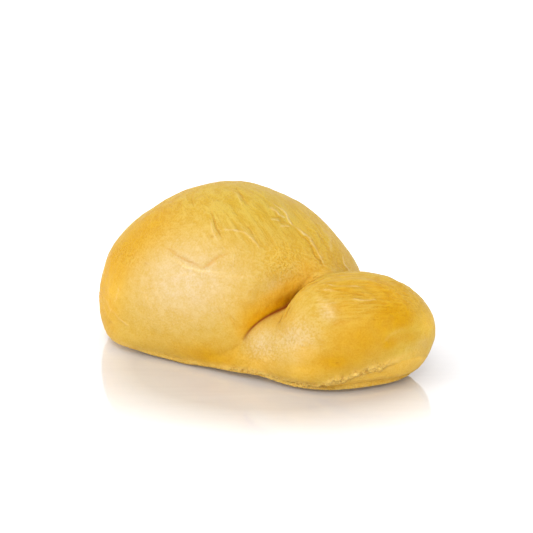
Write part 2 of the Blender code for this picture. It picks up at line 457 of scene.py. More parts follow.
@dataclass(frozen=True)
class Rim:
    """Where the rind meets the floor: stretches that stand clear of it, and the ragged lip."""

    rounding: float = 0.0012
    lifts: tuple[tuple[float, ...], ...] = (  # x, y, radius, height
        (-0.0605, 0.0120, 0.0100, 0.0032),
        (-0.0500, 0.0020, 0.0120, 0.0010),
        (-0.0300, -0.0055, 0.0140, 0.0007),
        (-0.0190, -0.0220, 0.0080, 0.0009),
        (-0.0030, -0.0280, 0.0115, 0.0024),
        (0.0160, -0.0360, 0.0100, 0.0010),
        (0.0330, -0.0400, 0.0130, 0.0010),
        (0.0480, -0.0240, 0.0120, 0.0012),
        (0.0560, -0.0130, 0.0100, 0.0010),
        (0.0300, 0.0250, 0.0200, 0.0010),
        (-0.0450, 0.0330, 0.0160, 0.0010),
    )
    torn_edge: tuple[Pair, ...] = (  # picture pixels
        (318.0, 389.5),
        (326.5, 387.5),
        (337.0, 383.5),
        (345.5, 382.5),
        (350.0, 380.5),
        (354.5, 377.0),
        (362.0, 377.0),
        (367.5, 373.0),
        (374.0, 371.0),
        (381.0, 370.5),
        (389.0, 365.5),
        (398.0, 362.5),
        (408.0, 359.0),
        (440.0, 352.0),
    )
    torn_from: Pair = (318.0, 330.0)
    torn_front: Pair = (-0.008, -0.018)
    wander: Noise = Noise(31, 0.005, 2, height=0.5 * MM)
    crumbly: tuple[Patch, ...] = ovals(
        (262, 374, 48, 26, 0.0, 1.0),
        (365, 370, 42, 22, 0.0, 1.0),
        (310, 386, 30, 14, 0.0, 0.7),
        (128, 346, 9, 8, 0.0, 0.8),
    )

    def crumbling(self, seen: Array) -> Array:
        """How crumbly the rim is at each place in the picture, from 0 to 1."""
        return np.clip(sum(patch.cover(seen) for patch in self.crumbly), 0, 1)

    def clearance(self, places: Array) -> Array:
        """How far the base stands off the floor: a sum of height exp(-(distance / radius)^2).

        Args:
            places: Points, one to a row.

        Returns:
            Heights in metres.
        """
        total = np.zeros(len(places))
        for x, y, radius, height in self.lifts:
            total += height * bell(np.hypot(places[:, 0] - x, places[:, 1] - y), radius)
        return total

    def above(self, places: Array, outlook: Outlook, facing: Array) -> Array:
        """How far places are above the rind's ragged edge, which leaves the floor on the head's front.

        Args:
            places: Points, one to a row.
            outlook: Where the photo was taken from.
            facing: How much each place's skin is seen from there.

        Returns:
            Heights in metres.
        """
        right, down = outlook.seen(places).T
        edge = np.interp(right, *np.array(self.torn_edge).T)
        torn = (edge - down) / outlook.pixels_per_mm * MM
        share = facing * eased(right, *self.torn_from) * eased(places[:, 1], *self.torn_front)
        flat = places[:, 2] - self.clearance(places)
        return flat * (1 - share) + torn * share + self.wander.at(places)


@dataclass(frozen=True)
class Skin:
    """The smooth skin's points, one to a row, with what the relief and the tints read at each of them.

    These are its normal, its place in the picture in pixels, how much it faces the camera, how far it is
    above the rind's ragged edge in metres, and how crumbly the rim is there.
    """

    places: Array
    normals: Array
    seen: Array
    facing: Array
    above: Array
    crumbling: Array

    @classmethod
    def watched(cls, places: Array, normals: Array, outlook: Outlook, rim: Rim) -> "Skin":
        """The skin as the photo's camera sees it.

        Args:
            places: The points, one to a row.
            normals: Their normals.
            outlook: Where the photo was taken from.
            rim: Where the rind meets the floor.

        Returns:
            The skin.
        """
        seen, facing = outlook.seen(places), outlook.facing(normals)
        above = rim.above(places, outlook, facing)
        return cls(places, normals, seen, facing, above, rim.crumbling(seen))

    def cover(self, patches: tuple[Patch, ...]) -> Array:
        """The patches' strengths added at each point, on the side that the picture shows."""
        return self.facing * sum(patch.cover(self.seen) for patch in patches)

    def upward(self, leans: Pair) -> Array:
        """How much each point's normal leans upwards, by a smooth step between two of its heights."""
        return eased(self.normals[:, 2], *leans)


@dataclass(frozen=True)
class Grid:
    """The grid of rays: columns around the neck's line, and rows from the head's pole to the belly's."""

    form: Form
    rim: Rim
    columns: int = 360
    rows: int = 274
    seam_row: int = 96
    crowding: float = 0.38
    crowded_at: float = 2.7
    belly_core: Triple = (0.000, 0.010, 0.024)
    head_core: Triple = (0.031, -0.029, 0.016)
    neck_share: float = 0.55
    longest_ray: float = 0.080
    step: float = 0.002
    halvings: int = 15
    marches: int = 22
    march_share: float = 0.8
    evenings: int = 5
    evening_share: float = 0.4
    slope_step: float = 0.00005
    least_steepness: float = 0.1

    def level(self, places: Array) -> Array:
        """The larger of the form's level and the depth below the base, with a rounded corner."""
        below = self.rim.clearance(places) - places[:, 2]
        return -melt(-self.form.level(places), -below, self.rim.rounding)

    def slope(self, places: Array, level: Array) -> Array:
        """The field's slope at each place by forward differences, given its level there."""
        steps = self.slope_step * np.eye(3)
        return np.column_stack([self.level(places + step) - level for step in steps]) / self.slope_step

    def halved(self, low: Array, high: Array, beyond: Callable) -> Array:
        """Halves the stretches from low to high until they meet where the test turns true.

        Args:
            low: Distances where the test is false.
            high: Distances where it is true.
            beyond: The test, which takes and returns an array.

        Returns:
            The distances where it turns true.
        """
        for _ in range(self.halvings):
            middle = (low + high) / 2
            past = beyond(middle)
            low, high = np.where(past, low, middle), np.where(past, middle, high)
        return low

    def first_exit(self, count: int, outside: Callable) -> Array:
        """How far each search goes before its place is outside for the first time.

        Args:
            count: How many searches there are.
            outside: The test, which takes distances and returns truths.

        Returns:
            The distances in metres.
        """
        reached, seeking = np.zeros(count), np.ones(count, bool)
        for distance in np.arange(self.step, self.longest_ray, self.step):
            seeking &= ~outside(np.full(count, distance))
            if not seeking.any():
                break
            reached = np.where(seeking, distance, reached)
        return self.halved(reached, reached + self.step, outside)

    def seam(self, start: Array, along: Array, length: float, outward: Array) -> Array:
        """Where belly and head meet in the skin: in each half plane through the neck's line, the place
        on the skin that is as near to the belly as to the head.

        Args:
            start: The middle of the belly.
            along: The direction of the neck's line.
            length: How far the head's middle is along it.
            outward: Each half plane's direction away from the line.

        Returns:
            One point for each half plane.
        """
        count = len(outward)

        def meeting(reach: Array) -> Array:
            """The place at this reach from the line that is as near to the belly as to the head.

            Args:
                reach: How far each place is from the line.

            Returns:
                One point for each half plane.
            """
            foot = start + reach[:, None] * outward

            def in_head(distance: Array) -> Array:
                """Whether the place that far along is nearer to the head."""
                places = foot + distance[:, None] * along
                return self.form.head(places) < self.form.belly(places)

            return foot + self.halved(np.zeros(count), np.full(count, length), in_head)[:, None] * along

        return meeting(self.first_exit(count, lambda reach: self.form.level(meeting(reach)) > 0))

    def wrapped(self) -> Array:
        """The grid on the skin. With v the share of the way from head pole to belly pole and u the angle
        around, rays beyond the seam leave the belly's middle, and their angle to the neck's line falls
        evenly to the seam's. Before it they start ever nearer to the head's middle.

        Returns:
            Points as an array of rows, columns and coordinates, with a pole in each end row.
        """
        start, end = np.array(self.belly_core), np.array(self.head_core)
        length = np.linalg.norm(end - start)
        along = unit(end - start)
        side = unit(np.cross((0, 0, 1), along))
        upward = np.cross(along, side)

        turn = 2 * np.pi * np.arange(self.columns) / self.columns
        around = turn - self.crowding * np.sin(turn - self.crowded_at)
        outward = np.cos(around)[:, None] * side + np.sin(around)[:, None] * upward
        seam = self.seam(start, along, length, outward)
        seam_out = ((seam - start) * outward).sum(axis=1)
        seam_along = (seam - start) @ along

        share = np.arange(self.rows)[:, None] / (self.rows - 1)
        seam_share = self.seam_row / (self.rows - 1)
        to_head = share < seam_share
        share = np.where(to_head, share / seam_share, (1 - share) / (1 - seam_share))
        neck = self.neck_share * length
        from_belly = np.pi - share * (np.pi - np.arctan2(seam_out, seam_along))
        from_head = share * np.arctan2(seam_out, seam_along - neck)
        angle = np.where(to_head, from_head, from_belly)[..., None]
        starts = start + np.where(to_head, length + share * (neck - length), 0)[..., None] * along
        directions = np.cos(angle) * along + np.sin(angle) * outward
        shape = directions.shape
        starts = np.broadcast_to(starts, shape).reshape(-1, 3)
        directions = directions.reshape(-1, 3)

        distance = np.zeros(len(starts))
        for _ in range(self.marches):
            distance -= self.march_share * self.level(starts + distance[:, None] * directions)
        points = (starts + distance[:, None] * directions).reshape(shape)
        shown = (seam[:, 2] > self.rim.clearance(seam) + self.rim.rounding)[:, None]
        points[self.seam_row] = np.where(shown, seam, points[self.seam_row])
        return self.evened(points)

    def evened(self, points: Array) -> Array:
        """The grid slid along the skin towards the mean of each point's four neighbours.

        Args:
            points: The grid, whose end rows and seam row stay in place.

        Returns:
            The evened grid.
        """
        for _ in range(self.evenings):
            around = np.roll(points, 1, axis=1) + np.roll(points, -1, axis=1)
            moves = np.zeros_like(points)
            moves[1:-1] = (around[1:-1] + points[:-2] + points[2:]) / 4 - points[1:-1]
            moves[self.seam_row] = 0
            points = self.slid(points.reshape(-1, 3), self.evening_share * moves.reshape(-1, 3))
            points = points.reshape(moves.shape)
        return points

    def slid(self, places: Array, moves: Array) -> Array:
        """Places moved by the part of each move that lies in the skin, and landed on its level.

        Args:
            places: Points, one to a row.
            moves: Their moves, one to a row.

        Returns:
            The moved points.
        """
        slope = self.slope(places, self.level(places))
        steepness = np.maximum((slope**2).sum(axis=1), self.least_steepness)[:, None]
        places = places + moves - slope * (slope * moves).sum(axis=1)[:, None] / steepness
        return places - slope * (self.level(places)[:, None] / steepness)

    def faces(self) -> tuple[Array, Array]:
        """The grid's faces: a fan round each pole, and four-sided faces between neighbouring rows.

        Returns:
            The triangles and the quads, as rows of vertex numbers, with the poles first and last.
        """
        rings = self.rows - 2
        ring = 1 + np.arange(rings)[:, None] * self.columns
        here = ring + np.arange(self.columns)
        there = ring + (np.arange(self.columns) + 1) % self.columns
        quads = np.stack([here[:-1], here[1:], there[1:], there[:-1]], axis=-1).reshape(-1, 4)
        first, last = np.zeros(self.columns, int), np.full(self.columns, 1 + rings * self.columns)
        fans = [np.column_stack([first, here[0], there[0]]), np.column_stack([last, there[-1], here[-1]])]
        return np.vstack(fans), quads


class Mark(Enum):
    """The kinds of line in the rind, with the sign of their height."""

    GROOVE = -1.0
    RIDGE = 1.0


@dataclass(frozen=True)
class Line:
    """One line in the rind: its kind, height and width in mm, and its course in picture pixels.

    Then come how strong its shoulder is, over what share of it each end fades, and how many widths to
    each side it reaches.
    """

    kind: Mark
    height: float
    width: float
    points: tuple[Pair, ...]
    shoulder: float = 0.3
    fade: float = 0.3
    reach: float = 4.0

    def traced(self, seen: Array, pixels_per_mm: float) -> tuple[Array, Array, Array]:
        """Where the line runs.

        Args:
            seen: Places in the picture, one to a row.
            pixels_per_mm: The picture's scale.

        Returns:
            The numbers of the places near the line, how many widths each is from its course, with a sign
            for the side, and the line's height there in mm, faded at its ends and below 0 for a groove.
        """
        course = Course.through(self.points, dimensions=2)
        reach = self.reach * max(self.width, 1.0) * pixels_per_mm
        low, high = course.points.min(axis=0) - reach, course.points.max(axis=0) + reach
        near = np.flatnonzero(((seen > low) & (seen < high)).all(axis=1))
        distance, _, along = course.nearest(seen[near])
        across = course.side(seen[near], along) * distance / pixels_per_mm / self.width
        fade = eased(along, 0.0, self.fade) * eased(along, 1.0, 1.0 - self.fade)
        return near, across, self.kind.value * self.height * fade


@dataclass(frozen=True)
class Band:
    """A band along the rim: its height, where above the rind's edge it runs, and its width, in metres."""

    height: float
    middle: float
    width: float

    def at(self, above: Array) -> Array:
        """The band's height at places that far above the edge."""
        return self.height * bell(above, self.width, self.middle)


@dataclass(frozen=True)
class Relief:
    """The rind's relief: its lines, dimples, streaks, pits and the crumbly lip of its rim."""

    pixels_per_mm: float
    lines: tuple[Line, ...] = (
        Line(Mark.GROOVE, 0.46, 0.85, ((162, 247), (175, 253), (181, 256.5), (192.5, 263.5), (205, 268))),
        Line(Mark.GROOVE, 0.46, 0.85, ((199, 270), (208.5, 264), (214.5, 258), (222, 254.5), (234, 254))),
        Line(
            Mark.RIDGE,
            0.34,
            1.00,
            ((160, 252), (178, 261), (190, 268), (202, 271.5), (214.5, 271), (236, 271.5)),
        ),
        Line(
            Mark.RIDGE,
            0.10,
            1.30,
            ((146, 282), (170, 276), (200, 275), (234, 276), (262, 280), (284, 287)),
        ),
        Line(Mark.RIDGE, 0.30, 0.80, ((214, 231), (234, 231), (245, 233), (254, 243), (264, 254))),
        Line(Mark.GROOVE, 0.36, 0.55, ((210, 207), (213, 219), (218, 229), (226, 245))),
        Line(Mark.RIDGE, 0.14, 0.70, ((207, 216), (213, 230), (220, 246))),
        Line(Mark.GROOVE, 0.14, 0.50, ((191, 193), (195, 210))),
        Line(Mark.GROOVE, 0.30, 0.55, ((243, 221), (251, 228.5), (253.5, 234.5), (255.5, 240))),
        Line(Mark.RIDGE, 0.10, 0.70, ((227, 185), (238, 195), (246, 210))),
        Line(Mark.RIDGE, 0.18, 0.50, ((234.5, 252), (233, 274))),
        Line(
            Mark.RIDGE,
            0.55,
            0.55,
            ((291, 224), (302, 233.5), (307.5, 239), (313.5, 247.5), (319.5, 257), (328, 273)),
        ),
        Line(
            Mark.GROOVE,
            0.50,
            0.45,
            ((296, 231), (303.5, 238.5), (309, 245.5), (314.5, 254.5), (321, 263.5), (325, 271)),
        ),
        Line(Mark.RIDGE, 0.42, 0.60, ((266, 199), (281, 210), (286, 215), (290, 221.5), (297, 230))),
        Line(Mark.RIDGE, 0.42, 0.80, ((268, 207), (279, 217))),
        Line(Mark.RIDGE, 0.28, 0.50, ((275, 215), (287, 219.5))),
        Line(Mark.GROOVE, 0.26, 0.45, ((269, 218), (278, 219), (287, 220.5))),
        Line(Mark.RIDGE, 0.28, 0.50, ((270, 221), (282, 222.5))),
        Line(Mark.GROOVE, 0.26, 0.45, ((271, 224), (281, 223.5), (288, 224), (296, 230))),
        Line(Mark.RIDGE, 0.24, 0.60, ((278, 226), (291, 227.5))),
        Line(Mark.RIDGE, 0.14, 1.00, ((327, 228), (330, 243), (331, 257))),
        Line(Mark.RIDGE, 0.40, 0.55, ((341, 252), (346, 264), (352, 274))),
        Line(Mark.GROOVE, 0.12, 0.90, ((336.5, 252), (337.5, 271))),
        Line(Mark.RIDGE, 0.14, 0.60, ((120, 283), (114.5, 305))),
        Line(Mark.RIDGE, 0.14, 0.70, ((103.5, 296), (109, 306), (114.5, 316))),
        Line(Mark.RIDGE, 0.10, 0.90, ((153, 280), (158, 292), (161.5, 306))),
        Line(Mark.GROOVE, 0.10, 0.90, ((148, 279), (153, 292), (157, 307))),
        Line(Mark.GROOVE, 0.60, 0.50, ((291, 301), (287.5, 308), (285, 314), (282.5, 321))),
        Line(
            Mark.GROOVE,
            0.70,
            0.45,
            ((291, 301), (299, 292.5), (311, 283.5), (326, 276.5), (341, 274), (359, 272.5)),
        ),
        Line(Mark.GROOVE, 0.22, 0.60, ((234, 184), (240, 192), (246, 200), (254, 207))),
        Line(Mark.RIDGE, 0.16, 0.50, ((104, 302), (115, 313), (122, 322), (131, 329))),
        Line(Mark.RIDGE, 0.14, 0.50, ((116, 292), (112, 308), (106, 321))),
        Line(Mark.RIDGE, 0.10, 0.90, ((143, 288), (153, 313))),
        Line(Mark.GROOVE, 0.12, 1.00, ((221, 290), (230, 313))),
        Line(Mark.GROOVE, 0.16, 1.00, ((218, 302), (226, 330))),
        Line(Mark.GROOVE, 0.10, 0.90, ((229, 311), (239, 333))),
        Line(Mark.RIDGE, 0.26, 0.55, ((348, 299), (363, 301), (379, 299))),
        Line(Mark.GROOVE, 0.24, 0.50, ((338, 301), (362, 304), (378, 302))),
        Line(Mark.GROOVE, 0.22, 0.50, ((331, 290), (352, 293), (369, 297))),
        Line(Mark.RIDGE, 0.15, 0.55, ((319, 286), (345, 285.5), (370, 284))),
        Line(Mark.RIDGE, 0.13, 0.55, ((313, 292), (335, 291.5), (351, 293.5))),
        Line(Mark.RIDGE, 0.14, 1.90, ((308, 293), (324, 304), (332, 312), (333, 325))),
        Line(Mark.GROOVE, 0.14, 2.20, ((326, 325), (341, 322.5), (357, 317))),
        Line(Mark.GROOVE, 0.08, 1.80, ((386, 338), (403, 341), (421, 335))),
        Line(Mark.RIDGE, 0.06, 1.40, ((383, 346), (388, 338), (400, 331), (415, 327))),
        Line(Mark.RIDGE, 0.08, 1.60, ((392, 366), (405, 352), (413, 339))),
    )
    dimpled: tuple[Patch, ...] = ovals(
        (284, 262, 20, 17, 0.0, 1.0),
        (122, 253, 16, 12, 40.0, 0.9),
        (170, 225, 45, 17, -30.0, 0.35),
        (304, 328, 22, 16, 0.0, 0.5),
        (250, 350, 22, 12, 0.0, 0.4),
    )
    swollen: tuple[Patch, ...] = ovals(  # with heights in mm for strengths
        (128, 342, 24, 11, 15.0, 1.6),
        (345, 324, 16, 6, -10.0, -0.4),
        (398, 345, 12, 8, -30.0, -0.3),
        (215, 318, 12, 22, -15.0, -0.25),
        (205, 245, 30, 12, -10.0, 0.3),
        (250, 222, 20, 14, 30.0, -0.3),
    )
    folded: tuple[Patch, ...] = ovals(
        (252, 214, 75, 30, 10.0, 1.0),
        (168, 205, 36, 14, -30.0, 0.5),
        (330, 245, 18, 28, -40.0, 0.6),
        (112, 305, 14, 26, 0.0, 0.4),
    )
    pits: tuple[Triple, ...] = (  # picture pixels, and the radius in mm
        (212.3, 236.8, 0.6),
        (145.5, 263.5, 0.5),
        (109.0, 323.0, 0.6),
        (374.0, 319.0, 0.5),
        (337.5, 364.0, 0.6),
        (314.5, 385.0, 0.5),
        (323.0, 387.0, 0.5),
        (233.0, 368.5, 0.7),
        (243.0, 371.0, 0.6),
        (249.5, 371.5, 0.6),
        (255.5, 373.0, 0.6),
        (128.5, 347.0, 0.8),
        (296.0, 385.5, 0.5),
    )
    pit_depth: float = 0.35 * MM
    hidden_share: float = 0.6
    wavering: tuple[Noise, Noise] = (Noise(21, 0.0045, 2, height=0.9), Noise(22, 0.0045, 2, height=0.9))
    waning: Noise = Noise(23, 0.0050, height=0.3)
    line_strength: Triple = (0.85, 0.4, 1.2)  # middle, least, most
    layers: int = 4
    farthest: float = 4.0
    crisp_share: float = 0.6
    least_width: float = 1.1
    rolling: Noise = Noise(3, 0.024, 2, height=0.40 * MM)
    uneven: Noise = Noise(4, 0.0050, 3, height=0.10 * MM)
    dimple: Noise = Noise(5, 0.0022, height=0.09 * MM)
    dimple_places: Scatter = Scatter(Noise(8, 0.02, 2), 0.1, 0.9)
    dimple_least: float = 0.15
    wrinkle: Noise = Noise(12, 0.010, 3, (1.0, 1.6, 1.0))
    wrinkle_places: Scatter = Scatter(Noise(13, 0.018, 2), -0.4, 0.6)
    wrinkle_width: float = 0.10
    wrinkle_height: float = 0.12
    wrinkle_shoulder: float = 0.6
    wrinkle_hiding: float = 0.75
    streak: Noise = Noise(6, 0.0016, 1, (8.0, 1.0, 1.3), height=0.22 * MM)
    streak_starts: tuple[Pair, ...] = ((0.012, 0.022), (-0.008, -0.020), (0.027, 0.034))
    lip: Band = Band(0.75 * MM, 0.6 * MM, 0.9 * MM)
    lip_swing: Noise = Noise(17, 0.007, height=0.25)
    lip_crumbs: Noise = Noise(7, 0.0021, 2, height=0.75)
    lip_strength: Triple = (0.35, -0.4, 1.6)  # middle, least, most
    lip_ends: tuple[Pair, ...] = ((406, 380), (110, 165))  # picture pixels
    knobs: Band = Band(0.45 * MM, 1.6 * MM, 1.5 * MM)
    knob_places: Scatter = Scatter(Noise(18, 0.0032), 0.35, 0.9)
    furrow: Band = Band(0.22 * MM, 2.4 * MM, 0.7 * MM)
    furrow_hiding: float = 0.6
    inset: float = 0.45 * MM
    inset_above: Pair = (0.0, -0.8 * MM)
    tuck: float = 0.55 * MM
    tuck_heights: Pair = (6.0 * MM, 0.0)
    tuck_sharper: float = 2.0
    tuck_sharper_from: Pair = (215, 245)  # picture pixels
    relief_leans: Pair = (-0.9, -0.5)
    lip_leans: Pair = (-0.98, -0.75)
    crumbly_least: float = 0.3

    def traces(self, skin: Skin) -> tuple[Array, Array, Array]:
        """The lines at each place, on the skin that the picture shows.

        Args:
            skin: The smooth skin.

        Returns:
            The lines' relief in metres, and for a few layers of lines that lie apart from each other, how
            many widths each place is from the nearest of them and that line's height there in mm.
        """
        seen = skin.seen + np.column_stack([noise.at(skin.places) for noise in self.wavering])
        middle, least, most = self.line_strength
        strength = skin.facing * np.clip(middle + self.waning.at(skin.places), least, most)
        relief = np.zeros(len(seen))
        across = np.full((self.layers, len(seen)), self.farthest)
        crest = np.zeros((self.layers, len(seen)))
        for number, line in enumerate(self.lines):
            near, widths, height = line.traced(seen, self.pixels_per_mm)
            height = height * strength[near]
            narrowness = min(line.width / self.least_width, 1.0)
            broad = np.abs(widths) * narrowness
            relief[near] += height * MM * narrowness * crested(broad, line.shoulder)
            layer = number % self.layers
            nearest = np.abs(widths) < np.abs(across[layer, near])
            near, widths, height = near[nearest], widths[nearest], height[nearest]
            across[layer, near] = widths
            crisp = eased(np.abs(widths), self.farthest, self.crisp_share * self.farthest)
            crest[layer, near] = height * crisp
        return relief, across, crest

    def pitted(self, skin: Skin) -> Array:
        """How deep in a pit each place is: a bell round each pit, on the side that the picture shows.

        Args:
            skin: The smooth skin.

        Returns:
            Depths compared with the deepest pit's.
        """
        depth = np.zeros(len(skin.seen))
        for right, down, radius in self.pits:
            away = np.linalg.norm(skin.seen - (right, down), axis=1) / self.pixels_per_mm
            depth += bell(away, radius)
        return depth * skin.facing

    def at(self, skin: Skin, lines: Array) -> Array:
        """The relief at each place: broad swells, dimples, wrinkles, head streaks, lines, pits and the rim.

        Args:
            skin: The smooth skin.
            lines: The lines' relief there, in metres.

        Returns:
            Heights in metres along the normals.
        """
        across, crest = self.wrinkles(skin)
        height = self.rolling.at(skin.places) + self.uneven.at(skin.places)
        height += MM * skin.cover(self.swollen) + self.dimples(skin) + self.streaks(skin)
        height += crest * MM * crested(across, self.wrinkle_shoulder)
        height += lines - self.pit_depth * self.pitted(skin)
        return height * skin.upward(self.relief_leans) + self.edge(skin)

    def dimples(self, skin: Skin) -> Array:
        """Orange-peel dimples: a fine noise, strong in the dimpled patches and weak elsewhere.

        Args:
            skin: The smooth skin.

        Returns:
            Heights in metres along the normals.
        """
        hidden = (1 - skin.facing) * self.dimple_places.at(skin.places)
        cover = self.dimple_least + np.clip(skin.cover(self.dimpled), 0, 1) + self.hidden_share * hidden
        return cover * self.dimple.at(skin.places)

    def wrinkles(self, skin: Skin) -> tuple[Array, Array]:
        """Fine wrinkles: thin raised lines where a slow noise crosses 0, in scattered patches.

        Args:
            skin: The smooth skin.

        Returns:
            How many widths each place is from a wrinkle, with a sign, and the wrinkle's height in mm.
        """
        across = self.wrinkle.at(skin.places) / self.wrinkle_width
        cover = self.wrinkle_places.at(skin.places) * (1 - self.wrinkle_hiding * skin.facing)
        return np.clip(across, -self.farthest, self.farthest), self.wrinkle_height * cover

    def streaks(self, skin: Skin) -> Array:
        """Streaks over the top of the head: noise drawn out along the head, fading down its sides."""
        covers = [eased(place, *start) for place, start in zip(skin.places.T, self.streak_starts)]
        return np.prod(covers, axis=0) * self.streak.at(skin.places)

    def fading(self, skin: Skin) -> Array:
        """How strong the lip is at each place: it fades at both ends of the rim that the picture shows."""
        right_end, left_end = (eased(skin.seen[:, 0], *end) for end in self.lip_ends)
        return skin.facing * right_end * left_end + self.hidden_share * (1 - skin.facing)

    def ragged(self, skin: Skin) -> dict[str, Array]:
        """What the finish needs for the ragged lip, the stretched folds and the pits.

        Args:
            skin: The smooth skin.

        Returns:
            How far places are above the edge in mm, the lip's strength, how crumbly it is, how strong
            the stretched folds are, and how deep the pits are compared with their deepest.
        """
        return {
            "above": np.clip(skin.above / MM, -self.farthest, self.farthest),
            "lip": self.fading(skin) * skin.upward(self.lip_leans),
            "crumbly": between((self.crumbly_least, 1.0), skin.crumbling),
            "folds": skin.cover(self.folded) + self.hidden_share * (1 - skin.facing),
            "pits": np.clip(self.pitted(skin), 0, 1),
        }

    def edge(self, skin: Skin) -> Array:
        """The rim: a lip of uneven height with knobs and a furrow above it, and a step in below it.

        Args:
            skin: The smooth skin.

        Returns:
            Heights in metres along the normals.
        """
        middle, least, most = self.lip_strength
        crumbs = skin.crumbling * self.lip_crumbs.at(skin.places)
        strength = np.clip(middle + self.lip_swing.at(skin.places) + crumbs, least, most)
        knobs = skin.crumbling * self.knob_places.at(skin.places) * self.knobs.at(skin.above)
        furrow = self.furrow.at(skin.above) * (1 - self.furrow_hiding * skin.crumbling)
        below = self.inset * eased(skin.above, *self.inset_above)
        shape = strength * self.lip.at(skin.above) + knobs - furrow - below
        sharper = 1 + self.tuck_sharper * skin.facing * eased(skin.seen[:, 0], *self.tuck_sharper_from)
        tuck = self.tuck * sharper * eased(skin.places[:, 2], *self.tuck_heights)
        return (shape * self.fading(skin) - tuck) * skin.upward(self.lip_leans)


